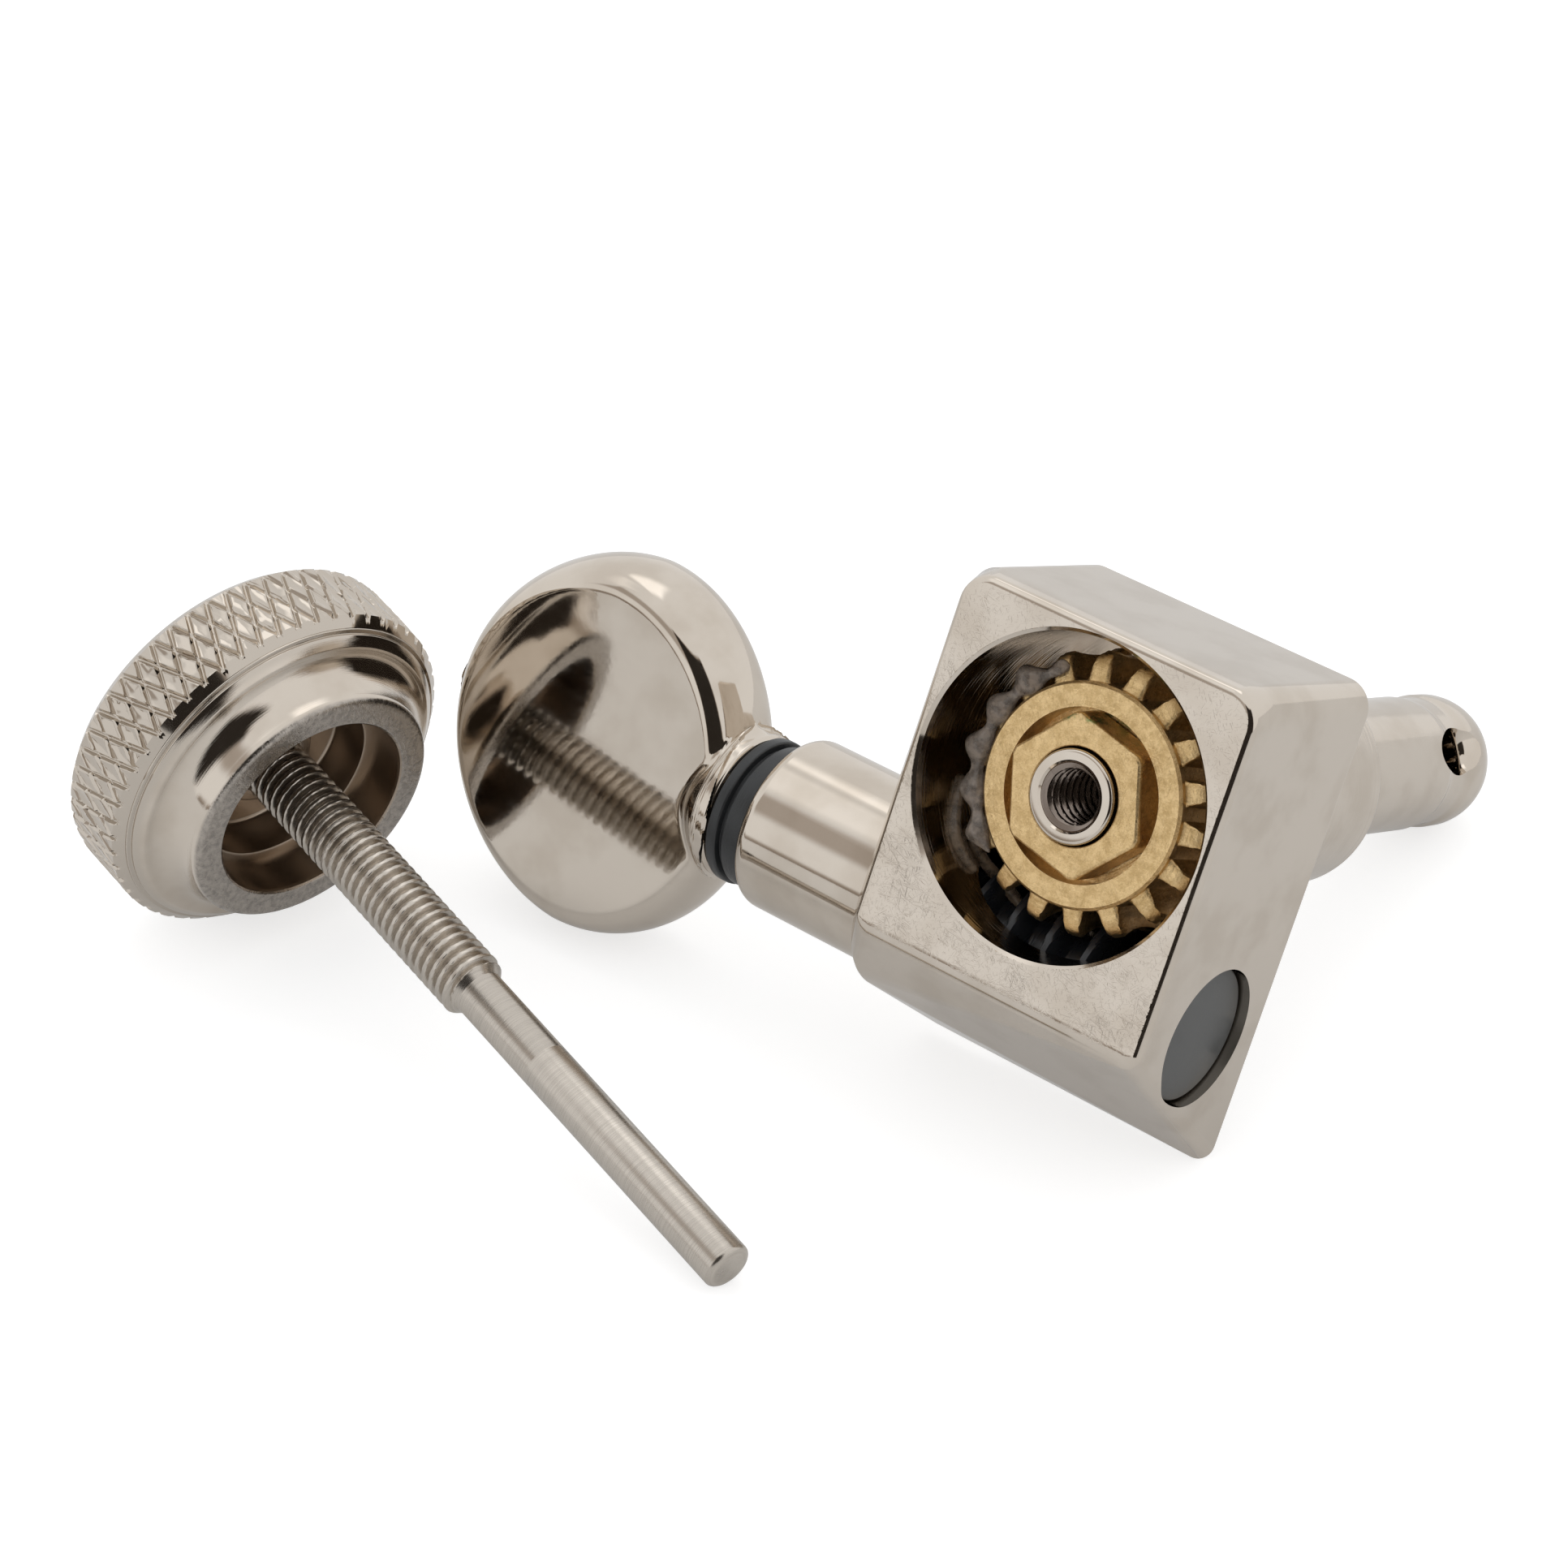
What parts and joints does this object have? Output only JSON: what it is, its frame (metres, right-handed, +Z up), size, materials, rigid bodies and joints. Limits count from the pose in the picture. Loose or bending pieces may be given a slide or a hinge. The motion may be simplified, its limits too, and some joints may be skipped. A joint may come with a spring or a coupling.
{
  "type": "rear-locking guitar tuning machine",
  "caption": "Worm-geared string tuner in a plated case with an oval button and a hollow string post, and the loose knurled thumbscrew whose pin clamps the string inside the post",
  "frame": {"origin": "middle of the bounding box on the table the pieces lie on", "axes": "+Z up from the table, +X to the right and +Y away from the viewer of the picture, so the post points right and away, and the thumbscrew lies on the left"},
  "size_m": [0.0622, 0.0366, 0.0234],
  "materials": {
    "plated_case": "polished nickel plate, lapped rear face",
    "plated_button": "mirror-polished nickel plate",
    "plated_post": "polished nickel plate",
    "plated_wheel": "polished nickel plate over a knurled rim",
    "steel_spindle": "turned steel with rolled thread",
    "steel": "plain steel",
    "black_steel": "blackened steel under grease",
    "brass": "machined brass, dull with grease",
    "black_plastic": "satin black",
    "grey_plug": "dark grey, slightly rough"
  },
  "bodies": {
    "case": {"housing": "plated_case", "locating_pin_left": "steel", "locating_pin_right": "steel", "worm_washer": "steel", "worm_end_washer": "steel", "worm_plug": "grey_plug", "neck_bush": "black_plastic", "button_washer": "black_plastic", "post_washer": "steel"},
    "button": {"button": "plated_button", "worm_shaft": "black_steel"},
    "post": {"string_post": "plated_post", "worm_wheel": "brass", "gear_nut": "brass"},
    "thumbscrew": {"thumbwheel": "plated_wheel", "locking_screw": "steel_spindle"}
  },
  "joints": [
    {"name": "button_turn", "type": "hinge", "parent": "case", "child": "button", "pos_m": [0.00298, -0.00001, 0.00802], "axis": [0.774, -0.6321, -0.0365], "continuous": true},
    {"name": "post_turn", "type": "hinge", "parent": "case", "child": "post", "pos_m": [0.01548, -0.00079, 0.01277], "axis": [-0.5592, -0.7095, 0.4288], "continuous": true},
    {"name": "thumbscrew_turn", "type": "hinge", "parent": "case", "child": "thumbscrew", "pos_m": [-0.02287, 0.00751, 0.00824], "axis": [-0.6078, 0.7642, 0.2159], "continuous": true}
  ],
  "couplings": [
    {"joint": "post_turn", "follows": "button_turn", "ratio": -0.055556}
  ]
}
